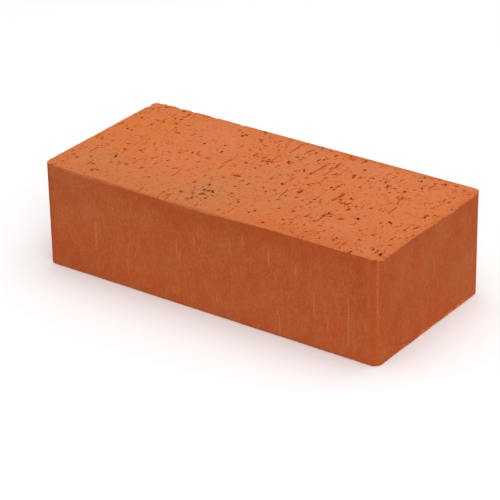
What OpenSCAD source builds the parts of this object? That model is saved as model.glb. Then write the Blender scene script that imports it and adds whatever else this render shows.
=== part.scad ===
// Solid building brick of fired clay, extruded and cut by wire.
//
// The clay leaves the die as a column whose section is the brick's length by its width, so the die
// rounds the four upright corners. Wires then cut the column into bricks, which leaves the two bed
// faces flat, with arrises that are almost sharp. One brick is one piece of clay: it has no core
// holes, no frog and nothing inside.
//
// Origin: centre of the lower bed face. X runs along the length, Y along the width and Z up.

/* [Format] */
// Length, which is two widths and one mortar joint
length = 203; // [180:1:260]
// Width, which is the short side of the bed face
width = 95; // [80:1:130]
// Height from bed face to bed face, which is the height of one course without its joint
height = 57; // [40:1:90]

/* [Edges] */
// Radius that the die gives the four upright corners
die_radius = 4.5; // [2:0.5:12]
// Radius of the arrises round the bed faces, where the wire enters and leaves the clay
wire_arris = 0.8; // [0.2:0.1:1.5]

/* [Hidden] */
$fn = 64;
fired_clay = [0.79, 0.41, 0.25];

// Rectangle of x by y about the origin, whose corners are quarter circles of radius r.
module rounded_rectangle(x, y, r) {
    square([x, y - 2 * r], center = true);
    square([x - 2 * r, y], center = true);
    for (side_x = [-1, 1], side_y = [-1, 1])
        translate([side_x * (x / 2 - r), side_y * (y / 2 - r)])
            circle(r);
}

// The column as it leaves the die, cut to one brick's height.
module cut_column() {
    linear_extrude(height)
        rounded_rectangle(length, width, die_radius);
}

// Bar along the length, which breaks the arrises of the two stretcher faces.
module stretcher_arrises() {
    translate([-length / 2, 0, height / 2])
        rotate([90, 0, 90])
            linear_extrude(length)
                rounded_rectangle(width, height, wire_arris);
}

// Bar along the width, which breaks the arrises of the two header faces.
module header_arrises() {
    translate([0, width / 2, height / 2])
        rotate([90, 0, 0])
            linear_extrude(width)
                rounded_rectangle(length, height, wire_arris);
}

module brick() {
    color(fired_clay)
        intersection() {
            cut_column();
            stretcher_arrises();
            header_arrises();
        }
}

brick();
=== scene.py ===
"""A solid building brick of fired clay, with the marks that its making leaves on it.

A die presses the clay into a column: it smooths the four sides, rounds the upright corners and leaves fine
upright lines. A wire then cuts the brick off, and the grit that it drags along tears both bed faces, which
leaves open pits, drag lines and bare grains of sand. Lengths are worked out in millimetres and go into the
meshes in metres. X runs along the length, Y along the width, which is the way the wire went, and Z up.
"""

from math import cos, pi, radians, sin

import bpy
import numpy as np
from bpy.props import FloatProperty, FloatVectorProperty, IntProperty, PointerProperty
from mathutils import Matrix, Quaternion, Vector


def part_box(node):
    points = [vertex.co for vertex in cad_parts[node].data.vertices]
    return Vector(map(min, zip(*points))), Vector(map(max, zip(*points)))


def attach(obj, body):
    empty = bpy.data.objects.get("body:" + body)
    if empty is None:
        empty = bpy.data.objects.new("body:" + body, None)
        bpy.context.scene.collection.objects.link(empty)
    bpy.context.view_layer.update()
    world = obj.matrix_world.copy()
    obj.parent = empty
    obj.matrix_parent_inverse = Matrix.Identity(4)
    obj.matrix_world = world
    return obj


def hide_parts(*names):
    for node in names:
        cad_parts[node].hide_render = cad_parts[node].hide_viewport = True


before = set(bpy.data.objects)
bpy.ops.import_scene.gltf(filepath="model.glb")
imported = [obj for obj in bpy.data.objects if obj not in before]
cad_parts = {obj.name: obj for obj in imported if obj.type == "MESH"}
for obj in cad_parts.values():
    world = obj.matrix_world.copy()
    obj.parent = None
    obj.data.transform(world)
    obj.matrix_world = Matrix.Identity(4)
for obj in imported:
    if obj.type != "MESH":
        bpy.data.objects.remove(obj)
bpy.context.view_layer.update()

bl_info = {
    "name": "Fired Clay Brick",
    "version": (1, 0, 0),
    "blender": (4, 5, 0),
    "location": "3D View > Sidebar > Brick",
    "description": "Makes a wire-cut brick of fired clay, its bare sand grains and a plain studio",
    "category": "Add Mesh",
}

MM = 0.001
LOWEST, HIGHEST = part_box("brick")
LENGTH, WIDTH, HEIGHT = (HIGHEST - LOWEST) / MM
HALF_PLAN = np.array([LENGTH, WIDTH]) / 2

# Lengths in millimetres, counts and shares that belong to the making and not to the settings.
LATTICE = (256, 128, 96)  # cells of the chance lattice before it repeats
EDGE_ROWS = 6  # finer grid lines along every edge
FINE_SKIN_FOOT = 8.0  # height where the sides change to half as many points
BED_REACH = 3  # how far down the sides the marks of a bed face are worked out
PIT_HALO = 1.7  # reach of a pit's reddened surround, in half widths
DEEPEST_PIT = 0.9
LARGEST_CHANCE_PIT = 2.2  # in middle sizes
PAINTED_HIGHLIGHT_PLACE, PAINTED_HIGHLIGHT_WIDTH = 0.74, 0.06  # how far round a die corner its painted highlight line stands, as a share of the turn
GRAIN_TOP = 0.01  # how far a sand grain's highest point lies below the highest parts of the bed
FLOOR_HALF = 3000.0

# Larger pits of the upper bed face: x, y, half width along X and along Y, darkness from 0 to 1.
PITS = (
    (97.5, -40, 1.2, 1.7, 1), (70.5, 24.5, 0.8, 1.4, 0.9), (73.5, 18.6, 0.9, 0.8, 0.8),
    (53.3, 3.2, 1.2, 0.9, 0.9), (53, -16.6, 1.3, 0.8, 0.9), (51.5, -27, 0.9, 0.8, 0.9),
    (62, -17.8, 1.4, 0.8, 0.9), (68.5, -14, 1.1, 0.7, 0.7), (84.3, -9.4, 0.7, 0.9, 0.8),
    (83.5, -24.6, 0.9, 0.6, 0.8), (40.3, 35.2, 0.7, 1.1, 0.9), (39.8, 27, 0.9, 1.5, 0.6),
    (16.2, 34.6, 0.8, 0.9, 0.8), (26, 31.3, 1, 0.8, 0.8), (-6.6, 16.6, 0.8, 1.2, 0.9),
    (-9.3, 15.2, 0.7, 1, 0.7), (-4.4, 18, 0.6, 0.9, 0.7), (-7.6, 19.4, 0.5, 0.8, 0.6),
    (-10.8, 17.8, 0.5, 0.8, 0.5), (-5, 14.4, 0.6, 0.9, 0.6), (-14.6, 9.2, 0.8, 1.5, 0.6),
    (-15, 19.2, 0.7, 1, 0.8), (-47, 17.2, 0.7, 1.1, 1), (-53.8, 23.2, 0.5, 0.8, 0.9),
    (-34.4, 37.8, 0.9, 1, 0.8), (-36, 35.6, 0.7, 1.4, 0.7), (-55.5, -23.9, 1.1, 0.7, 0.9),
    (-73, -27.6, 0.6, 0.9, 0.9), (-11.3, -27.7, 1.3, 0.7, 0.9), (-7.8, -28.4, 0.8, 0.7, 0.8),
    (-23.2, -23.5, 0.9, 0.8, 0.5), (-50.3, -10.7, 0.8, 0.8, 0.8), (-79.5, -34.5, 1.2, 0.9, 0.5),
    (-75.8, -40.6, 1, 0.9, 0.6), (-92.2, 44.4, 1.2, 0.9, 0.9), (-81, 45, 1.1, 0.8, 0.9),
    (-76, 43, 0.7, 1.6, 0.6), (28.5, 42.5, 1.1, 1.3, 0.7), (6.5, 0.5, 0.8, 0.7, 0.7),
    (-3, -16.5, 1.2, 0.7, 0.7), (20.8, -34.2, 0.9, 0.7, 0.8), (71.3, -39.3, 0.6, 0.9, 0.8),
    (32, -42.8, 0.8, 0.6, 0.9), (-29.3, -41.6, 0.8, 0.6, 0.8), (27.8, -4, 0.8, 1.8, 0.7),
    (46.8, 3, 0.9, 1.8, 0.6), (97, -6.2, 0.7, 1.4, 0.7), (83, 43.2, 1.2, 0.9, 0.8),
    (88.8, 44.3, 0.9, 0.9, 0.7),
)
# Drag lines of the upper bed face: x, y where the grit tore loose, y where its line ends, half width.
DRAG_LINES = (
    (26.3, 31, 17, 0.33), (-3.4, 45, 31, 0.45), (-5.5, 27, 20.5, 0.33), (-23.7, 8.5, 2.5, 0.45),
    (-22.7, 0.5, -4.5, 0.45), (20.5, 29, 15.5, 0.45), (4.3, 23.5, 19, 0.45), (4, 37, 33.5, 0.26),
    (-37, -18, -26, 0.33), (-90.1, -17, -25, 0.33), (-62.5, -16, -24, 0.26), (-53, -15, -19, 0.33),
    (27.8, -1, -7.5, 0.52), (46.8, 6.5, -4.5, 0.59), (38.6, -3, -7.5, 0.33), (41.3, -4.5, -7.2, 0.39),
    (52.6, -17, -28, 0.52), (73.2, 18, 14, 0.45), (78.8, 42.5, 33, 0.39), (34.8, 44.5, 40, 0.39),
    (61.3, 27, 22, 0.33), (75.4, 38, 32, 0.33), (77.2, 7, -1.5, 0.52), (93.7, 30, -33, 0.16),
    (-11, 46, 38.5, 0.26), (0.7, 16, 12, 0.39),
)
# Soft patches of the upper bed face, by finish: x, y, half width along X and along Y, strength.
BED_PATCHES = {
    "buff": (
        (-89, -10, 6, 8, 0.3), (-81, -27, 8, 12, 0.9), (-11, -30, 14, 17, 1), (-1.5, -8, 5, 9, 0.8),
        (26, -18, 7, 13, 0.7), (11, 8, 8, 10, 0.6), (44, -12, 6, 9, 0.5), (70, -12, 4, 9, 0.5),
        (-50, -38, 32, 9, 0.6), (-1, 30, 5, 8, 0.4), (-24, -12, 6, 8, 0.5), (88, -38, 4, 6, 0.4),
    ),
    "ochre": (
        (-77, 22, 9, 22, 1), (-80, -6, 9, 8, 0.9), (-96, 24, 7, 22, 0.8), (-62, 42, 10, 5, 0.4),
        (98, 5, 4, 42, 0.6), (40, -39, 22, 6, 0.8),
    ),
    "rust": (
        (28, 45.6, 9, 3.4, 1), (4, 46.6, 26, 2.2, 0.8), (62, 46.6, 30, 1.8, 0.7),
        (-72, 46.5, 22, 1.4, 0.6), (100, 5, 1.6, 42, 0.9), (50, -43, 30, 5, 0.8), (73, -40, 8, 4, 0.5),
        (-62, -41, 30, 6, 0.3), (97, 40, 4, 6, 0.5),
    ),
    "pale": (
        (-89, 25, 3, 6, 1), (66, -26, 8, 3, 1), (-1, 34, 4, 6, 0.6), (-46, 26, 15, 12, 0.5),
        (58, 28, 16, 12, 0.5), (16, 30, 9, 9, 0.4), (-42, -6, 12, 9, 0.4), (-53, -16, 6, 5, 0.4),
    ),
}
# Soft patches of the front stretcher face, by finish: x, height, half width along X and up, strength.
FRONT_PATCHES = {
    "bloom": (
        (-85, 50, 10, 6, 1), (-74, 40, 6, 12, 0.7), (-88, 30, 10, 6, 0.7), (-66, 31, 8, 8, 0.5),
        (-52, 40, 10, 8, 0.5), (-36, 42, 8, 7, 0.6), (-20, 20, 7, 7, 0.7), (-45, 18, 8, 8, 0.3),
        (15, 45, 5, 8, 0.6), (8, 35, 6, 10, 0.5), (14, 8.5, 9, 3.5, 0.9), (43, 46, 6, 4, 0.7),
        (66, 34, 4, 8, 0.4), (38, 20, 8, 8, 0.3), (5, 13, 5, 6, 0.5),
    ),
    # Darker patches; the long bands near the top across the whole face are painted shade on the upper part of
    # the face.
    "darker_patches_and_painted_shade": (
        (-85, 8, 20, 7, 1), (0, 56, 120, 3.5, 0.8), (0, 50, 150, 10, 0.5), (-17, 47, 6, 6, 0.9),
        (5, 52, 16, 4, 0.6), (-88, 50, 16, 8, 0.6), (91.5, 35, 4, 24, 0.9), (-99, 30, 3, 20, 0.5),
    ),
    # Pale lines just under the upper arris: partly scuffs, partly painted highlight.
    "scuff_and_painted_highlight": (
        (-74, 56, 20, 0.9, 1), (-14, 54.8, 8, 0.8, 0.6), (-96, 53, 3, 2, 0.6),
    ),
}
# Soft patches of the right header face, by finish: y, height, half width along Y and up, strength.
END_PATCHES = {
    "bloom": (
        (-22, 40, 6, 8, 0.6), (-4, 36, 9, 9, 0.5), (8, 34, 6, 9, 0.5), (22, 12, 6, 12, 0.8),
        (33, 24, 8, 9, 0.7), (36, 8, 7, 8, 0.6), (-36, 26, 3, 8, 0.4), (-40, 6, 5, 4, 0.4),
        (12, 50, 8, 4, 0.5),
    ),
    # Darker patches; the long band near the top across the whole face is painted shade on its upper part.
    "darker_patches_and_painted_shade": (
        (-41, 38, 6, 14, 0.9), (-32, 19, 6, 8, 0.9), (0, 56, 60, 3, 0.4), (-16, 14, 8, 8, 0.5),
        (13, 30, 5, 8, 0.5), (42, 45, 3, 8, 0.5), (46.8, 28, 1.3, 34, 0.9),
    ),
    # Pale line just under the upper arris: partly scuffs, partly painted highlight.
    "scuff_and_painted_highlight": (
        (12, 54, 9, 0.8, 0.4),
    ),
}
# Dry scores that grit in the die leaves on the front stretcher face: x, and its top and foot above the floor.
FRONT_SCORES = (
    (-69, 32, 17), (-67.7, 39, 34), (-45.5, 51, 47), (-47, 33, 26), (-48.7, 17, 8), (-42.7, 14.5, 11),
    (-17.5, 36, 28), (-15.2, 29, 23), (-6.5, 41, 36), (-20.5, 8, 1), (-16.5, 9, 2), (15, 55, 51),
    (15.3, 43.5, 37.5), (23.2, 49, 43), (38.7, 46, 37), (54.5, 43, 37), (65, 29, 19.5), (71, 27, 17),
    (72.9, 20, 12), (79.2, 28, 23), (84.7, 34, 4.5), (44.7, 12, 1), (98, 9, 1),
)
# The same on the right header face: y, top and foot.
END_SCORES = (
    (-17, 33, 27), (3, 36, 27), (7, 26, 19), (-7.5, 13, 8), (39.8, 27, 20),
)
# Chips out of the upper arris: x, y, how far it goes, half length.
CHIPS = (
    (-101.5, 41, 1.4, 1.6), (-97.5, 47.5, 1.8, 1.8), (-92.5, 47.5, 1.2, 1.2), (-84.5, 47.5, 1.3, 1.8),
    (-76, 47.5, 0.9, 1.4), (-62, 47.5, 0.9, 1.6), (-44, 47.5, 0.8, 1.2), (101.5, 34, 1.2, 4),
    (101.5, 20, 1.4, 5), (101.5, 3, 0.7, 2.5), (101.5, -24, 0.9, 4), (101.5, -40, 1.1, 3),
    (-60, -47.5, 0.9, 12), (-25, -47.5, 0.9, 14), (14, -47.5, 0.7, 5), (60, -47.5, 0.6, 3),
)
# Bare grains of sand in the upper bed face: x, y, half width.
SAND = (
    (44.3, 3.2, 0.60), (9.7, -4.8, 0.60), (30, -8, 0.45), (66.2, 2.6, 0.40), (92.3, 18.6, 0.50),
    (95.6, 15.1, 0.40), (72, 40.3, 0.50), (92, 44.8, 0.45), (94.3, 37.4, 0.40), (-82.6, 4, 0.45),
    (-62.6, 41.2, 0.45), (-86.4, 38, 0.40), (64.5, -34.6, 0.35), (92.6, -18.4, 0.35), (36, 31.3, 0.35),
    (-26, -24, 0.40), (-96, 33.5, 0.35), (52, -24, 0.35), (97.5, -22, 0.35), (-43.9, 46, 0.45),
)


# ---- Settings ----


class BrickForm(bpy.types.PropertyGroup):
    """Sizes of the body and of the relief on it."""

    cell: FloatProperty(
        name="Cell", description="Width of a mesh cell on the upper bed face",
        default=0.00062, min=0.0004, max=0.005, precision=5, unit="LENGTH")
    side_row: FloatProperty(
        name="Side row", description="Height of a mesh cell on the sides",
        default=0.0026, min=0.0005, max=0.01, precision=5, unit="LENGTH")
    die_radius: FloatProperty(
        name="Die radius", description="Radius of the four upright corners",
        default=0.0045, min=0.002, max=0.02, precision=4, unit="LENGTH")
    wire_arris: FloatProperty(
        name="Wire arris", description="Usual radius of the arrises round the bed faces",
        default=0.0006, min=0.0002, max=0.003, precision=5, unit="LENGTH")
    corner_drag: FloatProperty(
        name="Corner drag", description="How far the wire drags the rear upper corners out towards square",
        default=0.2, min=0.0, max=1.0)
    die_line_depth: FloatProperty(
        name="Die line depth", description="Depth of the upright lines that the die leaves",
        default=0.00006, min=0.0, max=0.001, precision=6, unit="LENGTH")
    wire_wave_depth: FloatProperty(
        name="Wire wave depth", description="Depth of the waves that the wire leaves in the bed faces",
        default=0.00007, min=0.0, max=0.001, precision=6, unit="LENGTH")


class TornFace(bpy.types.PropertyGroup):
    """How much the wire tears out of a bed face."""

    pits: IntProperty(
        name="Pits", description="Number of chance pits in a bed face", default=1250, min=0, max=5000)
    pit_size: FloatProperty(
        name="Pit size", description="Middle value of a chance pit's half width",
        default=0.00025, min=0.0001, max=0.005, precision=5, unit="LENGTH")
    drag_lines: IntProperty(
        name="Drag lines", description="Number of chance drag lines in a bed face",
        default=46, min=0, max=500)
    grains: IntProperty(
        name="Grains", description="Number of chance grains of sand that lie bare",
        default=90, min=0, max=2000)
    seed: IntProperty(name="Seed", description="Which chance pattern the marks take", default=11, min=0)


class ClayColours(bpy.types.PropertyGroup):
    """Colours of the fired clay and its marks."""

    cut_clay: FloatVectorProperty(
        name="Cut clay", description="Torn clay of the bed faces", subtype="COLOR",
        default=(0.590, 0.169, 0.0545))
    pale_clay: FloatVectorProperty(
        name="Pale clay", description="Dry flecks and patches of the bed faces", subtype="COLOR",
        default=(0.612, 0.205, 0.082))
    buff: FloatVectorProperty(
        name="Buff", description="Patches that lie browner and greener in the bed face", subtype="COLOR",
        default=(0.530, 0.187, 0.072))
    ochre: FloatVectorProperty(
        name="Ochre", description="Patches of a stronger orange", subtype="COLOR",
        default=(0.606, 0.164, 0.041))
    rust: FloatVectorProperty(
        name="Rust", description="Redder, darker clay near some edges", subtype="COLOR",
        default=(0.520, 0.120, 0.028))
    torn: FloatVectorProperty(
        name="Torn clay", description="Clay that a grain dragged open", subtype="COLOR",
        default=(0.480, 0.070, 0.006))
    # The pit colour is also painted shade: it darkens the hollows of pits.
    pit: FloatVectorProperty(
        name="Pit", description="Floor of an open pit, and specks on the sides", subtype="COLOR",
        default=(0.070, 0.013, 0.001))
    die_skin: FloatVectorProperty(
        name="Die skin", description="Smooth red skin of the sides", subtype="COLOR",
        default=(0.414, 0.066, 0.0125))
    dull_skin: FloatVectorProperty(
        name="Dull skin", description="Browner, greyer parts of the skin", subtype="COLOR",
        default=(0.354, 0.0835, 0.0215))
    dust: FloatVectorProperty(
        name="Dust", description="Scratches, dry scores and flecks on the sides", subtype="COLOR",
        default=(0.585, 0.176, 0.071))
    sand: FloatVectorProperty(
        name="Sand", description="Bare grains of sand", subtype="COLOR", default=(0.55, 0.44, 0.30))


class Studio(bpy.types.PropertyGroup):
    """Where the camera stands and how bright the light is."""

    azimuth: FloatProperty(
        name="Azimuth", description="Turn of the camera round the brick", default=radians(35.87),
        subtype="ANGLE")
    elevation: FloatProperty(
        name="Elevation", description="Angle of the camera above the floor", default=radians(26.6),
        subtype="ANGLE")
    roll: FloatProperty(
        name="Roll", description="Turn of the camera about its own line of sight", default=radians(-1.02),
        subtype="ANGLE")
    distance: FloatProperty(
        name="Distance", description="Distance from the camera to its aim", default=1.2293, unit="LENGTH")
    aim: FloatVectorProperty(
        name="Aim", description="Point that the camera looks at", default=(-0.0013, -0.0074, 0.018),
        subtype="TRANSLATION")
    lens: FloatProperty(
        name="Lens", description="Focal length in millimetres on a 36 mm sensor", default=174.2)
    sky: FloatProperty(name="Sky", description="Brightness of the white surroundings", default=0.72, min=0.0)
    overhead: FloatProperty(
        name="Overhead", description="Power of the soft light above", default=9.0, min=0.0, unit="POWER")
    frontal: FloatProperty(
        name="Frontal", description="Power of the soft light near the camera", default=6.0, min=0.0,
        unit="POWER")


# ---- Sums on whole arrays of points ----


def noise(points, cell, seed):
    """Chance values from -1 to 1 on a lattice with that cell in millimetres. A point takes the values at the
    eight corners of its cell, with weights 3t^2 - 2t^3 along each axis."""
    values = np.random.default_rng(seed).uniform(-1, 1, LATTICE)
    place = points / np.asarray(cell)
    corner = np.floor(place).astype(int)
    part = place - corner
    part = part * part * (3 - 2 * part)
    total = np.zeros(len(points))
    for step in np.ndindex(2, 2, 2):
        index = (corner + step) % LATTICE
        total += np.where(step, part, 1 - part).prod(axis=1) * values[tuple(index.T)]
    return total


def ramp(value, start, end):
    """0 before start, 1 past end and 3t^2 - 2t^3 between them. Start may be the larger of the two."""
    part = np.clip((value - start) / (end - start), 0, 1)
    return part * part * (3 - 2 * part)


def at_level(plan, level):
    """Plan points with a height added, so that noise can be read there."""
    return np.column_stack([plan, np.broadcast_to(level, len(plan))])


def near(plan, x, y, reach):
    """Indices of the plan points inside a square round a place."""
    return np.flatnonzero(np.abs(plan - (x, y)).max(axis=1) < reach)


def beside(plan, x, start, end, reach):
    """Indices of the plan points within reach of a line along Y, and up to 1 mm past its ends."""
    x_off, y = np.abs(plan[:, 0] - x), plan[:, 1]
    return np.flatnonzero((x_off < reach) & (y < start + 1) & (y > end - 1))


# ---- The skin of the brick: points and faces ----


def graded_steps(cell):
    """Distances from an edge of the first grid lines: steps grow evenly from a third of a cell to a cell."""
    return np.cumsum(np.linspace(cell / 3, cell, EDGE_ROWS))


def grid_lines(half, cell):
    """Places of an even number of steps from -half to half, finer at both ends."""
    edge = graded_steps(cell)
    middle = 2 * round((half - edge[-1]) / cell) + 1
    inner = np.linspace(edge[-1] - half, half - edge[-1], middle)
    return np.concatenate([[-half], edge[:-1] - half, inner, half - edge[-2::-1], [half]])


def bed_grid(lines, radius):
    """Plan grid of a bed face. In the squares at its corners, s and t from 0 to 1 become s sqrt(1 - t^2/2)
    and t sqrt(1 - s^2/2), which turns each square into a quarter disc."""
    plan = np.stack(np.meshgrid(*lines, indexing="ij"), axis=-1)
    straight = HALF_PLAN - radius
    part = np.clip((np.abs(plan) - straight) / radius, 0, 1)
    bent = part * np.sqrt(1 - part[..., ::-1] ** 2 / 2)
    return np.sign(plan) * (np.minimum(np.abs(plan), straight) + radius * bent)


def rim(grid):
    """The border of a grid, once round from its first corner, counterclockwise seen from above."""
    return np.concatenate([grid[:-1, 0], grid[-1, :-1], grid[:0:-1, -1], grid[0, :0:-1]])


def grid_faces(index):
    """Quads of a grid of point numbers, facing up."""
    return np.stack([index[:-1, :-1], index[1:, :-1], index[1:, 1:], index[:-1, 1:]], axis=-1).reshape(-1, 4)


def band_faces(rings):
    """Quads between rings of point numbers that follow each other downwards, facing out."""
    above, below = rings[:-1], rings[1:]
    quads = [above, below, np.roll(below, -1, axis=1), np.roll(above, -1, axis=1)]
    return np.stack(quads, axis=-1).reshape(-1, 4)


def brick_skin(cell, side_row, radius):
    """The closed skin before its relief: plan places, heights and faces.

    The upper bed face is a grid, the sides are rings that follow its rim down, and one row of pentagons near
    the foot joins them to rings with half as many points, which end in the coarser grid of the lower bed."""
    lines = [grid_lines(half, cell) for half in HALF_PLAN]
    upper = bed_grid(lines, radius)
    lower = bed_grid([line[::2] for line in lines], radius)
    outline = rim(upper)
    below = graded_steps(cell)
    rows = round((HEIGHT - FINE_SKIN_FOOT - below[-1]) / side_row)
    fine = np.concatenate([HEIGHT - below, np.linspace(HEIGHT - below[-1], FINE_SKIN_FOOT, rows + 1)[1:]])
    coarse = graded_steps(2 * cell)[::-1]
    plan = [upper.reshape(-1, 2), np.tile(outline, (len(fine), 1)),
            np.tile(outline[::2], (len(coarse), 1)), lower.reshape(-1, 2)]
    heights = [np.full(len(plan[0]), HEIGHT), np.repeat(fine, len(outline)),
               np.repeat(coarse, len(outline) // 2), np.zeros(len(plan[3]))]
    numbers = np.split(np.arange(sum(map(len, plan))), np.cumsum([len(part) for part in plan])[:-1])
    upper_index = numbers[0].reshape(upper.shape[:2])
    lower_index = numbers[3].reshape(lower.shape[:2])
    fine_rings = np.vstack([rim(upper_index), numbers[1].reshape(len(fine), -1)])
    coarse_rings = np.vstack([numbers[2].reshape(len(coarse), -1), rim(lower_index)])
    last, first = fine_rings[-1], coarse_rings[0]
    join = np.stack([last[::2], first, np.roll(first, -1), np.roll(last[::2], -1), last[1::2]], axis=-1)
    faces = [grid_faces(upper_index), band_faces(fine_rings), join, band_faces(coarse_rings),
             grid_faces(lower_index)[:, ::-1]]
    return np.concatenate(plan), np.concatenate(heights), faces


def from_outline(plan, radius):
    """How far each plan point lies inside the brick's outline, and the way out to it."""
    past = np.abs(plan) - (HALF_PLAN - radius)
    corner = (past > 0).all(axis=1)[:, None]
    way = np.where(corner, past, past >= past.max(axis=1, keepdims=True))
    way = way / np.linalg.norm(way, axis=1, keepdims=True)
    inside = radius - (past * way).sum(axis=1)
    return inside, way * np.sign(plan)


def towards_square(plan, inside, way, below, radius, drag):
    """Shift in plan that makes the rear upper corners a little pointed, where the wire leaves the clay.

    A quarter circle meets the square round it after radius (1/max(cos, sin) - 1), straight out. The shift is
    that distance times drag at the upper bed, a third of it 3 mm down and none 14 mm down. On the bed it
    fades from the outline inwards, over one radius."""
    reach = radius * (1 / np.abs(way).max(axis=1).clip(0.7) - 1)
    fall = 0.67 * ramp(below, 3, 0) + 0.33 * ramp(below, 14, 3)
    return way * (drag * reach * fall * ramp(inside, radius, 0) * (plan[:, 1] > 0))[:, None]


def roll_over(inside, below, radius):
    """A quarter circle of that radius from a bed face to a side.

    inside is the distance in from the outline on the bed face, below the distance down the side. Their
    difference w turns the surface by (1 - w/radius) 45 degrees, from 0 at w = radius to 90 at w = -radius,
    and the quarter circle lies radius (1 - sin) in from the side and radius (1 - cos) below the bed."""
    turn = np.clip((1 - (inside - below) / radius) / 2, 0, 1) * pi / 2
    outwards = np.minimum(inside, radius) - radius * (1 - np.sin(turn))
    down = radius * (1 - np.cos(turn)) + np.maximum(below - radius, 0)
    return outwards, down, turn


# ---- The marks of the wire ----


def chance_pits(rng, count, size):
    """Pits strewn over a bed face: x, y, half widths, darkness. Sizes spread log-normally, up to
    LARGEST_CHANCE_PIT times the middle one. Places gather where a broad noise is high and towards the right
    end, and one pit in three is strewn close to another."""
    tries = rng.uniform(-HALF_PLAN, HALF_PLAN, (4 * count, 2))
    crowd = noise(at_level(tries, 0), 14.0, int(rng.integers(1000))) + 0.004 * tries[:, 0]
    place = tries[rng.uniform(-1.1, 0.8, len(tries)) < crowd][:2 * count // 3]
    parents = place[rng.integers(len(place), size=count - len(place))]
    place = np.vstack([place, parents + rng.normal(0, (1.0, 1.5), parents.shape)])
    across = size * np.exp(rng.normal(0, 0.42, len(place))).clip(0, LARGEST_CHANCE_PIT)
    along = across * rng.uniform(1.0, 2.4, len(place))
    dark = np.clip(rng.normal(0.54, 0.24, len(place)) + 0.25 * (across / size - 1), 0.2, 1)
    return np.column_stack([place, across, along, dark])


def crumbled(rng, pits):
    """Each pit broken up: the pit itself, shrunk, and two small ones close beside it, more along Y."""
    pits = np.array(pits)
    core = pits * (1, 1, 0.72, 0.72, 1)
    bits = np.repeat(pits, 2, axis=0)
    bits[:, :2] += rng.normal(0, 1, (len(bits), 2)) * bits[:, 2:4] * (0.9, 1.6)
    bits[:, 2:4] *= rng.uniform(0.25, 0.5, (len(bits), 1))
    bits[:, 4] *= rng.uniform(0.6, 1.0, len(bits))
    return np.vstack([core, bits])


def chance_drag_lines(rng, count):
    """Drag lines strewn over a bed face: x, y at both ends, half width."""
    start = rng.uniform(0.04 - HALF_PLAN, HALF_PLAN, (count, 2))
    length = rng.uniform(1.5, 6, count)
    return np.column_stack([start, start[:, 1] - length, rng.uniform(0.2, 0.4, count)])


def on_points(plan, pits, cell):
    """The pits, each moved to the grid point next to it, so that a small one has a floor too."""
    pits = pits.copy()
    for pit in pits:
        here = near(plan, pit[0], pit[1], cell)
        if len(here):
            pit[:2] = plan[here[np.linalg.norm(plan[here] - pit[:2], axis=1).argmin()]]
    return pits


def gather(plan, pits, drag_lines, cell):
    """Pulls grid points towards marks, so that cells are smaller there. Within reach R of a pit, a point at
    qR moves in by 0.5 (1 - q^2)^2 of its distance. Beside a drag line it moves along X in the same way."""
    shift = np.zeros_like(plan)
    pull = np.zeros(len(plan))
    for x, y, across, along, dark in pits:
        reach = 1.6 * along + 1.5 * cell
        here = near(plan, x, y, reach)
        offset = plan[here] - (x, y)
        weight = np.clip(1 - (offset ** 2).sum(axis=1) / reach ** 2, 0, 1) ** 2
        shift[here] -= 0.5 * weight[:, None] * offset
        pull[here] += weight
    for x, start, end, half in drag_lines:
        reach = 2 * half + 1.5 * cell
        here = beside(plan, x, start, end, reach)
        offset = plan[here, 0] - x
        ends = ramp(plan[here, 1], end - 1, end) * ramp(plan[here, 1], start + 1, start)
        weight = (1 - (offset / reach) ** 2) ** 2 * ends
        shift[here, 0] -= 0.4 * weight * offset
        pull[here] += weight
    return plan + shift / np.maximum(pull, 1)[:, None]


def open_pits(plan, pits, rng):
    """Depth, closeness and shade of pits. A pit is an ellipse whose rim wanders by three waves of 2, 3 and 5
    lobes, and its floor rises from the middle to the rim as 3t^2 - 2t^3. Closeness falls evenly from 1 in the
    middle to 0 at PIT_HALO rims out, and the shade is that of the closest pit."""
    depth, close, shade = np.zeros((3, len(plan)))
    phases = rng.uniform(0, 2 * pi, (len(pits), 3))
    turns = rng.normal(0, 0.35, len(pits))
    for (x, y, across, along, dark), phase, turn in zip(pits, phases, turns):
        here = near(plan, x, y, 3 * max(across, along))
        offset = plan[here] - (x, y)
        u = (offset @ (cos(turn), sin(turn))) / across
        v = (offset @ (-sin(turn), cos(turn))) / along
        lobes = np.sin(np.arctan2(v, u)[:, None] * (2, 3, 5) + phase) @ (0.20, 0.14, 0.10)
        out = np.hypot(u, v) * (1 + lobes)
        closer = np.clip(1 - out / PIT_HALO, 0, 1) + 1e-6
        shade[here] = np.where(closer > close[here], dark, shade[here])
        close[here] = np.maximum(close[here], closer)
        depth[here] = np.maximum(depth[here], ramp(out, 1.1, 0.3) * min(across, DEEPEST_PIT))
    return depth, close, shade


def torn_lines(plan, drag_lines, rng):
    """Depth and redness of drag lines. Each is a bell-shaped groove about a line that wanders by a slow sine,
    broken up by noise and fading towards its end."""
    depth, red = np.zeros(len(plan)), np.zeros(len(plan))
    breaks = noise(at_level(plan, 0), (0.9, 1.6, 1.0), 71)
    for (x, start, end, half), phase in zip(drag_lines, rng.uniform(0, 2 * pi, len(drag_lines))):
        here = beside(plan, x, start, end, 4 * half)
        px, py = plan[here].T
        wander = 0.35 * half * np.sin(py / 2.3 + phase)
        bell = np.exp(-((px - x - wander) / half) ** 2)
        fade = ramp(py, end - 0.8, end + 1.5) * ramp(py, start + 0.8, start - 0.3)
        line = bell * fade * (0.75 + 0.35 * breaks[here])
        depth[here] = np.maximum(depth[here], 0.6 * half * line)
        red[here] = np.maximum(red[here], line)
    return depth, red


def soft_spots(plan, spots):
    """The sum of bells exp(-q^2) over spots given as x, y, half widths and strength, at most 1."""
    total = np.zeros(len(plan))
    for x, y, across, along, strength in spots:
        total += strength * np.exp(-(((plan - (x, y)) / (across, along)) ** 2).sum(axis=1))
    return np.clip(total, 0, 1)


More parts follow.
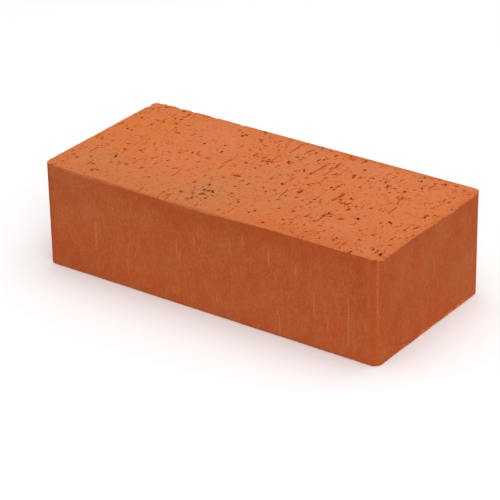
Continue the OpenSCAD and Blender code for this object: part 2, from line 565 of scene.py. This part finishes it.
def arris_radius(plan, usual, chips, upper, way):
    """Radius of the arris near each plan point: the usual one, more or less by half, and a bell for every
    chip on the upper arris. It is half as large at the rear and at the left end, where the wire leaves a
    burr, and crumbles more at the upper right end."""
    coarse, fine = noise(at_level(plan, 0), 6.0, 41), noise(at_level(plan, 0), 1.7, 42)
    radius = usual * (1 + 0.3 * coarse + 0.2 * fine)
    radius *= 1 - 0.5 * ramp(np.maximum(way[:, 1], -way[:, 0]), 0.5, 0.9)
    radius += upper * 0.5 * ramp(way[:, 0], 0.7, 0.95) * ramp(coarse + fine, 0.2, 1.2)
    for x, y, size, half in chips:
        radius += upper * size * np.exp(-((np.abs(plan - (x, y)).max(axis=1)) / half) ** 2)
    return np.clip(radius, 0.2, 3.0)


def torn_over(points, inside, down, way):
    """How far each point lies inside the edge of the torn face, in millimetres and at most 3 either way.

    The edge wanders by 0.3 mm about the arris. It laps over it by 1 mm, give or take as much, at the two
    ends, and by up to 1.6 mm about the middle of the upper front arris."""
    ends = ramp(np.abs(way[:, 0]), 0.7, 0.95)
    worn = ramp(-way[:, 1], 0.7, 0.95) * ramp(points[:, 0], -110, -10) * ramp(points[:, 0], 55, -5)
    worn *= 1.6 * (points[:, 2] > HEIGHT / 2)
    ragged = 0.4 * noise(points, 0.9, 57) + 0.8 * noise(points, 6.0, 56)
    lap = 0.3 * ragged + ends * (0.9 + 0.9 * ragged) + worn
    return np.clip(lap - down + np.minimum(inside, 3), -3, 3)


def dry_scores(plan, heights):
    """Strength of the dry scores on the near sides: 1 on the column of points next to each, and rising from
    0 over 2 mm at its ends."""
    scores = [((x, -HALF_PLAN[1]), top, foot) for x, top, foot in FRONT_SCORES]
    scores += [((HALF_PLAN[0], y), top, foot) for y, top, foot in END_SCORES]
    strength = np.zeros(len(plan))
    for place, top, foot in scores:
        away = np.linalg.norm(plan - place, axis=1)
        column = away < away.min() + 0.05
        line = column * ramp(heights, top + 1, top - 1) * ramp(heights, foot - 1, foot + 1)
        strength = np.maximum(strength, line)
    return strength


def corner_marks(way, heights):
    """Strength of two upright marks on the rounded corners, by how far round a point lies, from 0 on the
    stretcher's side to 1 on the header's: a broad band of painted highlight, and a painted highlight line
    along the crease as a bell that fades downwards."""
    turned = np.where(np.abs(way).min(axis=1) > 0, np.abs(way[:, 0]), 0)
    redder_band_and_painted_highlight = ramp(turned, 0.02, 0.2) * ramp(turned, 0.72, 0.62)
    painted_crease_highlight = np.exp(-((turned - PAINTED_HIGHLIGHT_PLACE) / PAINTED_HIGHLIGHT_WIDTH) ** 2) * ramp(heights, 12, 36)
    return redder_band_and_painted_highlight, painted_crease_highlight


# ---- Meshes ----


def put_mesh(name, points, faces, marks=None):
    """A smooth mesh object at the origin, from points in millimetres, faces as arrays of point numbers, and
    marks as point attributes."""
    mesh = bpy.data.meshes.new(name)
    mesh.from_pydata((points * MM).tolist(), [], [face for part in faces for face in part.tolist()])
    for mark, values in (marks or {}).items():
        mesh.attributes.new(mark, "FLOAT", "POINT").data.foreach_set("value", values.astype(np.float32))
    mesh.shade_smooth()
    mesh.validate()
    piece = bpy.data.objects.new(name, mesh)
    bpy.context.scene.collection.objects.link(piece)
    return piece


def tear_beds(plan, heights, radius, torn, cell):
    """Tears both bed faces: the plan with its points gathered towards the marks, the depth of the marks, the
    closeness and shade of pits, and the redness of drag lines."""
    rng = np.random.default_rng(torn.seed)
    upper_pits = np.vstack([crumbled(rng, PITS), chance_pits(rng, torn.pits, torn.pit_size / MM)])
    lower_pits = chance_pits(rng, torn.pits // 3, 2 * torn.pit_size / MM)
    upper_drags = np.vstack([DRAG_LINES, chance_drag_lines(rng, torn.drag_lines)])
    lower_drags = chance_drag_lines(rng, torn.drag_lines)
    beds = ((heights > HEIGHT - BED_REACH, upper_pits, upper_drags, cell),
            (heights < BED_REACH, lower_pits, lower_drags, 2 * cell))

    plan = plan.copy()
    inside, way = from_outline(plan, radius)
    depth, close, shade, red = np.zeros((4, len(plan)))
    for bed, pits, drags, step in beds:
        flat = bed & (inside > 0.01)
        pits = on_points(plan[flat], pits, step)
        free = ramp(inside[flat], 0, 2)[:, None]
        plan[flat] += free * (gather(plan[flat], pits, drags, step) - plan[flat])
        pit_depth, close[bed], shade[bed] = open_pits(plan[bed], pits, rng)
        line_depth, red[bed] = torn_lines(plan[bed], drags, rng)
        depth[bed] = np.maximum(pit_depth, line_depth)
    return plan, depth, close, shade, red


def patch_marks(plan, points, heights, way, steep, upper):
    """Strength of every soft patch: the upper bed's, and the front's and right end's on the sides only. The
    darker patches carry painted shade too: long bands that darken the upper part of the sides, and a fall
    that darkens the upper bed evenly towards the front."""
    marks = {}
    for mark, patches in BED_PATCHES.items():
        marks[mark] = soft_spots(plan, patches) * (heights > HEIGHT - BED_REACH)
    front, right = steep * ramp(-way[:, 1], 0.5, 0.9), steep * ramp(way[:, 0], 0.5, 0.9)
    for mark in FRONT_PATCHES:
        marks[mark] = front * soft_spots(points[:, [0, 2]], FRONT_PATCHES[mark])
        marks[mark] += right * soft_spots(points[:, [1, 2]], END_PATCHES[mark])
    # Painted shade: the upper bed darker towards its front edge.
    marks["darker_patches_and_painted_shade"] += 0.65 * upper * (1 - steep) * ramp(points[:, 1], 4, -44)
    return marks


def make_body(form, torn):
    """The brick's body: the skin, pulled in along its own normal by its marks, waves and die lines."""
    cell, radius = form.cell / MM, form.die_radius / MM
    plan, heights, faces = brick_skin(cell, form.side_row / MM, radius)
    plan, depth, close, shade, red = tear_beds(plan, heights, radius, torn, cell)
    inside, way = from_outline(plan, radius)

    upper = heights > HEIGHT / 2
    below = np.where(upper, HEIGHT - heights, heights)
    arris = arris_radius(plan, form.wire_arris / MM, CHIPS, upper, way)
    outwards, down, turn = roll_over(np.maximum(inside, 0), below, arris)
    steep = np.sin(turn)
    normal = np.column_stack([way * steep[:, None], np.cos(turn) * np.where(upper, 1, -1)])
    place = plan + way * outwards[:, None]
    place += towards_square(plan, inside, way, np.where(upper, down, HEIGHT), radius, form.corner_drag)
    points = np.column_stack([place, np.where(upper, HEIGHT - down, down)])

    wave = noise(points, (2.2, 14.0, 4.0), 51) + 0.5 * noise(points, (0.9, 2.4, 2.0), 52)
    die_line = noise(points, (1.3, 1.3, 70.0), 53) + 0.6 * noise(points, (0.7, 0.7, 25.0), 54)
    crumble = ramp(arris, 1.0, 2.0) * np.sin(2 * turn) * (noise(points, 1.1, 55) + 1)
    score = dry_scores(plan, heights)
    relief = form.wire_wave_depth / MM * (1.1 - wave).clip(0) * (1 - steep)
    relief += form.die_line_depth / MM * (1.2 - die_line).clip(0) * steep
    relief += 0.3 * crumble + 0.05 * score + depth * np.clip(1.2 - steep, 0, 1)
    points -= normal * relief[:, None]

    corner_band, painted_crease_highlight = corner_marks(way, points[:, 2])
    top_band = ramp(-way[:, 1], 0.5, 0.9) * ramp(points[:, 2], 45, 52) * ramp(points[:, 0], -60, -30)
    marks = {
        "pit": close * np.clip(1.3 - steep, 0, 1),
        "shade": shade,
        "drag": red,
        "cut": torn_over(points, inside, down, way),
        "score": score,
        # Painted light: the lower part lightened towards the floor, as if lit by light bounced off it.
        "foot": ramp(points[:, 2], 30, 2),
        "end": ramp(np.abs(way[:, 0]), 0.7, 0.95),
        # Painted highlight on the rounded corners, laid as redder skin; the band along the top of the front
        # face is redder skin.
        "redder_band_and_painted_highlight": np.maximum(corner_band, 0.6 * steep * top_band),
        "painted_crease_highlight": painted_crease_highlight,
    }
    marks.update(patch_marks(plan, points, heights, way, steep, upper))
    return put_mesh("fired_clay_brick", points, faces, marks)


def make_grains(torn):
    """Bare grains of sand, sunk in the upper bed so that each one's top is level with its highest parts. A
    grain is a ball of 3 rings of 6 points and two poles, with each point moved in or out by chance and the
    whole flattened."""
    rng = np.random.default_rng(torn.seed + 1)
    place = rng.uniform(3 - HALF_PLAN, HALF_PLAN - 3, (torn.grains, 2))
    chosen = np.array(SAND)
    place = np.vstack([chosen[:, :2], place])
    size = np.concatenate([chosen[:, 2], rng.uniform(0.14, 0.32, torn.grains)])
    rings, around = 3, 6
    polar = np.repeat(np.arange(1, rings + 1) * pi / (rings + 1), around)
    spin = np.tile(np.arange(around) * 2 * pi / around, rings)
    ball = np.column_stack([np.sin(polar) * np.cos(spin), np.sin(polar) * np.sin(spin), np.cos(polar)])
    ball = np.vstack([ball, [0, 0, 1], [0, 0, -1]])
    bumps = rng.uniform(0.75, 1.1, (len(place), len(ball), 1))
    stretch = rng.uniform((0.8, 0.8, 0.5), (1.3, 1.3, 0.7), (len(place), 3))[:, None]
    grains = ball * bumps * stretch * size[:, None, None]
    level = HEIGHT - GRAIN_TOP - grains[..., 2].max(axis=1)
    points = grains + np.column_stack([place, level])[:, None]
    index = np.arange(rings * around).reshape(rings, around)
    top, foot = rings * around, rings * around + 1
    cap = np.stack([np.full(around, top), index[0], np.roll(index[0], -1)], axis=-1)
    base = np.stack([np.full(around, foot), np.roll(index[-1], -1), index[-1]], axis=-1)
    first = np.arange(len(place)) * len(ball)
    one_grain = (band_faces(index), cap, base)
    faces = [(part + first[:, None, None]).reshape(-1, part.shape[1]) for part in one_grain]
    tone = np.repeat(rng.uniform(0, 1, len(place)), len(ball))
    return put_mesh("sand_grains", points.reshape(-1, 3), faces, {"tone": tone})


# ---- Materials ----


class Wire:
    """One output of a material's node. Arithmetic on it adds Math nodes, and node() adds any other node."""

    def __init__(self, tree, socket=None):
        self.tree = tree
        self.socket = socket

    def node(self, kind, settings=None, sockets=None, output=0):
        """Adds a node: its settings come first, then the values or links of its sockets."""
        made = self.tree.nodes.new("ShaderNode" + kind)
        for name, value in (settings or {}).items():
            setattr(made, name, value)
        for name, value in (sockets or {}).items():
            if isinstance(value, Wire):
                self.tree.links.new(value.socket, made.inputs[name])
            else:
                made.inputs[name].default_value = value
        return Wire(self.tree, made.outputs[output] if made.outputs else None)

    def math(self, operation, first, second):
        return self.node("Math", {"operation": operation}, {0: first, 1: second})

    def __add__(self, other):
        return self.math("ADD", self, other)

    def __sub__(self, other):
        return self.math("SUBTRACT", self, other)

    def __rsub__(self, other):
        return self.math("SUBTRACT", other, self)

    def __mul__(self, other):
        return self.math("MULTIPLY", self, other)

    __radd__ = __add__
    __rmul__ = __mul__

    def step(self, start, end):
        """0 before start, 1 past end and 3t^2 - 2t^3 between them. Start may be the larger of the two."""
        return self.node("MapRange", {"interpolation_type": "SMOOTHSTEP"},
                         {"Value": self, "From Min": start, "From Max": end})

    def noise(self, size, stretch=(1, 1, 1), detail=2.0, seed=0.0):
        """Noise about 0.5 with features of that size in millimetres, drawn out along each axis by stretch."""
        shrink = [1 / part for part in stretch]
        place = self.node("VectorMath", {"operation": "MULTIPLY"}, {0: self, 1: shrink})
        return place.node("TexNoise", {"noise_dimensions": "4D"},
                          {"Vector": place, "W": seed, "Scale": 1 / (size * MM), "Detail": detail}, "Fac")

    def mix(self, first, second, mask):
        """The first colour where the mask is 0 and the second where it is 1."""
        return self.node("Mix", {"data_type": "RGBA"}, {0: mask, 6: first, 7: second}, 2)

    def under(self, colour, mask):
        """This colour with another laid over it where the mask is 1."""
        return self.mix(self, colour, mask)

    def attribute(self, name):
        return self.node("Attribute", {"attribute_name": name}, output="Fac")


def new_material(name):
    """An empty material and the wire of its object coordinates."""
    material = bpy.data.materials.new(name)
    material.use_nodes = True
    material.node_tree.nodes.clear()
    return material, Wire(material.node_tree).node("TexCoord", output="Object")


def torn_finish(place, paint, crumb):
    """Colour of the torn face, and its strokes and drawn streaks: soft patches, pale flecks, short red
    strokes along the wire's way and the drag lines."""
    cloud = place.noise(16, detail=3, seed=1)
    haze = place.noise(9, (1, 1.6, 1), detail=3, seed=13)
    strokes = place.noise(1.0, (1, 2.6, 1), detail=2, seed=4).step(0.60, 0.66)
    nicks = place.noise(0.55, (1, 1.8, 1), detail=1, seed=11).step(0.62, 0.68)
    flecks = place.noise(0.9, (1, 1.6, 1), detail=3, seed=14).step(0.48, 0.72)
    drawn = place.noise(1.0, (0.8, 6, 1), detail=3, seed=5)
    drag = place.attribute("drag")
    pale = place.attribute("pale") * 0.7 + haze.step(0.50, 0.72) * 0.3
    colour = place.mix(paint("cut_clay"), paint("pale_clay"), pale)
    colour = colour.under(paint("buff"), place.attribute("buff") * 0.9 + cloud.step(0.48, 0.75) * 0.25)
    colour = colour.under(paint("ochre"), place.attribute("ochre") * 0.75 + cloud.step(0.46, 0.30) * 0.3)
    colour = colour.under(paint("rust"), place.attribute("rust") * crumb.step(0.30, 0.60) * 0.9)
    colour = colour.under(paint("pale_clay"), flecks * 0.34)
    colour = colour.under(paint("torn"), crumb.step(0.48, 0.78) * 0.22 + drawn.step(0.52, 0.80) * 0.16)
    colour = colour.under(paint("torn"), strokes * 0.58 + nicks * 0.30)
    colour = colour.under(paint("torn"), drag.step(0.10, 0.40) * 0.9)
    return colour.under(paint("pit"), drag.step(0.35, 0.90) * 0.32), strokes, drawn


def skin_finish(place, paint, crumb):
    """Colour of the die's skin, and its threads and scratches: redder and greyer parts, fine pale grain,
    thin upright scratches, scuffs that are partly painted highlight, a painted highlight on the rounded
    corners and along their crease, and a few dark specks. The ends of the brick are streaked less."""
    end, bloom = place.attribute("end"), place.attribute("bloom")
    blotches = place.noise(7, (1, 1, 1.3), detail=4, seed=9).step(0.38, 0.66)
    streaks = place.noise(1.4, (1, 1, 5), detail=4, seed=6).step(0.36, 0.64)
    mottle = place.noise(1.5, (1, 1, 1.4), detail=4, seed=12).step(0.42, 0.68)
    grain = place.noise(0.5, (1, 1, 1.6), detail=2, seed=15).step(0.44, 0.72)
    scratches = place.noise(0.34, (1, 1, 16), detail=1, seed=7).step(0.60, 0.69)
    threads = place.noise(0.35, (1, 1, 22), detail=2, seed=8).step(0.50, 0.75)
    specks = place.noise(0.8, detail=1, seed=10).step(0.69, 0.76)
    bloom = bloom * 0.9 + blotches * 0.4
    dull = 0.06 + bloom * 0.60 + streaks * (0.32 - end * 0.18) + mottle * 0.10
    dusty = bloom * 0.12 + blotches * 0.04 + mottle * 0.15 + grain * 0.31 + threads * (0.12 - end * 0.08)
    scored = scratches * (0.30 + bloom * 0.20) * (1 - end * 0.5) + place.attribute("score") * 0.42
    # Scuffs under the upper arris, partly painted highlight.
    scuffed_and_highlit = place.attribute("scuff_and_painted_highlight") * (0.30 + crumb.step(0.35, 0.60) * 0.50)
    # Redder skin: a painted highlight on the rounded corners, and a band along the top of the front face.
    redder_band_and_painted_highlight = place.attribute("redder_band_and_painted_highlight") * (0.30 + crumb.step(0.40, 0.60) * 0.45)
    colour = place.mix(paint("die_skin"), paint("dull_skin"), dull)
    colour = colour.under(paint("dust"), dusty).under(paint("dust"), scored).under(paint("dust"), scuffed_and_highlit)
    colour = colour.under(paint("die_skin"), redder_band_and_painted_highlight)
    # Painted highlight: a thin buff line along the crease of each rounded corner, fading downwards.
    colour = colour.under(paint("buff"), place.attribute("painted_crease_highlight") * crumb.step(0.30, 0.55) * 0.45)
    return colour.under(paint("pit"), specks * 0.42), threads, scratches


def clay_material(colours):
    """Fired clay: torn orange bed faces and a smooth red-brown skin, told apart by the cut attribute."""
    material, place = new_material("fired_clay")

    def paint(name):
        return (*getattr(colours, name), 1.0)

    grit = place.noise(0.45, detail=2, seed=3)
    crumb = place.noise(1.3, (1, 1.5, 1), detail=4, seed=2)
    torn_face, strokes, drawn = torn_finish(place, paint, crumb)
    skin, threads, scratches = skin_finish(place, paint, crumb)

    ragged_edge = (crumb - 0.5) * (1.2 + place.attribute("end") * 2.6) + (grit - 0.5) * 1.2
    cut = (place.attribute("cut") + ragged_edge).step(-0.25, 0.25)
    ragged_pit = place.attribute("pit") + (grit - 0.5) * 0.5
    colour = skin.under(torn_face, cut)
    colour = colour.under(paint("torn"), ragged_pit.step(0.10, 0.45) * 0.80)
    # Dark pit floors: partly the clay's own colour, partly painted shade in the hollows.
    colour = colour.under(paint("pit"), ragged_pit.step(0.34, 0.56) * place.attribute("shade"))
    # Value of the colour: chance tone from the grit, painted light that lightens the lower part towards the
    # floor, and the darker patches, which include painted shade.
    tone_and_painted_light = 0.85 + grit * 0.26 + place.attribute("foot") * 0.08 - place.attribute("darker_patches_and_painted_shade") * 0.08
    value = grit.node("HueSaturation", None, {"Value": tone_and_painted_light, "Color": colour})

    height = crumb * 0.5 + grit * 0.35
    height = height + cut * (drawn * 0.6 - strokes * 0.5) + (1 - cut) * (threads * 0.15 - scratches * 0.3)
    surface = place.node("BsdfPrincipled", None, {
        "Base Color": value,
        "Roughness": 0.72 + cut * 0.14 + grit * 0.1,
        "Specular IOR Level": 0.05,
        "Normal": place.node("Bump", None, {"Height": height, "Distance": 0.00022, "Strength": 1.0}),
    })
    place.node("OutputMaterial", None, {"Surface": surface})
    return material


def sand_material(colours):
    """Bare sand: pale grains, each with its own tone."""
    material, place = new_material("bare_sand")
    tone = place.attribute("tone")
    grit = place.noise(0.2, seed=21)
    pale = place.mix((*colours.sand, 1.0), (*colours.buff, 1.0), tone * 0.7 + grit * 0.3)
    normal = place.node("Bump", None, {"Height": grit, "Distance": 0.0001, "Strength": 1.0})
    surface = place.node("BsdfPrincipled", None, {
        "Base Color": pale, "Roughness": 0.55 + grit * 0.2, "Normal": normal, "Specular IOR Level": 0.4})
    place.node("OutputMaterial", None, {"Surface": surface})
    return material


# ---- Operators ----


class BRICK_OT_body(bpy.types.Operator):
    """Make the fired body of the brick in place of its plain solid"""

    bl_idname = "brick.body"
    bl_label = "Make Body"

    def execute(self, context):
        scene = context.scene
        body = make_body(scene.brick_form, scene.brick_torn_face)
        body.data.materials.append(clay_material(scene.brick_colours))
        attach(body, "root")
        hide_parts("brick")
        return {"FINISHED"}


class BRICK_OT_grains(bpy.types.Operator):
    """Make the bare grains of sand in the upper bed face"""

    bl_idname = "brick.grains"
    bl_label = "Make Sand Grains"

    def execute(self, context):
        scene = context.scene
        grains = make_grains(scene.brick_torn_face)
        grains.data.materials.append(sand_material(scene.brick_colours))
        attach(grains, "root")
        return {"FINISHED"}


def add_soft_light(name, place, aim, size, power):
    """A square lamp of that size in metres, turned towards its aim."""
    lamp = bpy.data.lights.new(name, "AREA")
    lamp.size = size
    lamp.energy = power
    light = bpy.data.objects.new(name, lamp)
    light.location = place
    light.rotation_euler = (Vector(place) - Vector(aim)).to_track_quat("Z", "Y").to_euler()
    bpy.context.scene.collection.objects.link(light)


class BRICK_OT_stage(bpy.types.Operator):
    """Make the pale floor, the soft light and the camera"""

    bl_idname = "brick.stage"
    bl_label = "Make Stage"

    def execute(self, context):
        scene = context.scene
        studio = scene.brick_studio
        corners = FLOOR_HALF * np.array([(-1, -1, 0), (1, -1, 0), (1, 1, 0), (-1, 1, 0)])
        floor = put_mesh("floor", corners, [np.array([[0, 1, 2, 3]])])
        paper, place = new_material("white_paper")
        grain = place.noise(40, seed=31)
        white = place.node("BsdfPrincipled", None, {
            "Base Color": (0.9, 0.9, 0.9, 1.0), "Roughness": 0.9 + grain * 0.1, "Specular IOR Level": 0.0})
        place.node("OutputMaterial", None, {"Surface": white})
        floor.data.materials.append(paper)

        scene.world = bpy.data.worlds.new("white_surroundings")
        scene.world.use_nodes = True
        background = scene.world.node_tree.nodes["Background"]
        background.inputs["Color"].default_value = (1, 1, 1, 1)
        background.inputs["Strength"].default_value = studio.sky
        scene.view_settings.view_transform = "Standard"

        aim = Vector(studio.aim)
        back = Vector((sin(studio.azimuth) * cos(studio.elevation),
                       -cos(studio.azimuth) * cos(studio.elevation), sin(studio.elevation)))
        add_soft_light("overhead_light", (0.1, 0.1, 1.4), aim, 1.2, studio.overhead)
        near_camera = aim + 1.6 * back + Vector((0.2, 0.1, 0.3))
        add_soft_light("frontal_light", near_camera, aim, 0.9, studio.frontal)

        camera = bpy.data.objects.new("camera", bpy.data.cameras.new("camera"))
        camera.data.lens = studio.lens
        camera.location = aim + studio.distance * back
        turn = back.to_track_quat("Z", "Y") @ Quaternion((0, 0, 1), studio.roll)
        camera.rotation_euler = turn.to_euler()
        scene.collection.objects.link(camera)
        scene.camera = camera
        return {"FINISHED"}


class BRICK_PT_sidebar(bpy.types.Panel):
    """The brick's settings and the buttons that make it"""

    bl_idname = "BRICK_PT_sidebar"
    bl_label = "Fired Clay Brick"
    bl_space_type = "VIEW_3D"
    bl_region_type = "UI"
    bl_category = "Brick"

    def draw(self, context):
        for group, kind in SETTINGS.items():
            box = self.layout.box()
            for name in kind.__annotations__:
                box.prop(getattr(context.scene, group), name)
        for operator in OPERATORS:
            self.layout.operator(operator.bl_idname)


SETTINGS = {
    "brick_form": BrickForm,
    "brick_torn_face": TornFace,
    "brick_colours": ClayColours,
    "brick_studio": Studio,
}
OPERATORS = (BRICK_OT_body, BRICK_OT_grains, BRICK_OT_stage)
CLASSES = (*SETTINGS.values(), *OPERATORS, BRICK_PT_sidebar)


def register():
    for kind in CLASSES:
        bpy.utils.register_class(kind)
    for group, kind in SETTINGS.items():
        setattr(bpy.types.Scene, group, PointerProperty(type=kind))


def unregister():
    for group in SETTINGS:
        delattr(bpy.types.Scene, group)
    for kind in reversed(CLASSES):
        bpy.utils.unregister_class(kind)


def main():
    register()
    bpy.ops.brick.body()
    bpy.ops.brick.grains()
    bpy.ops.brick.stage()


if __name__ == "__main__":
    main()
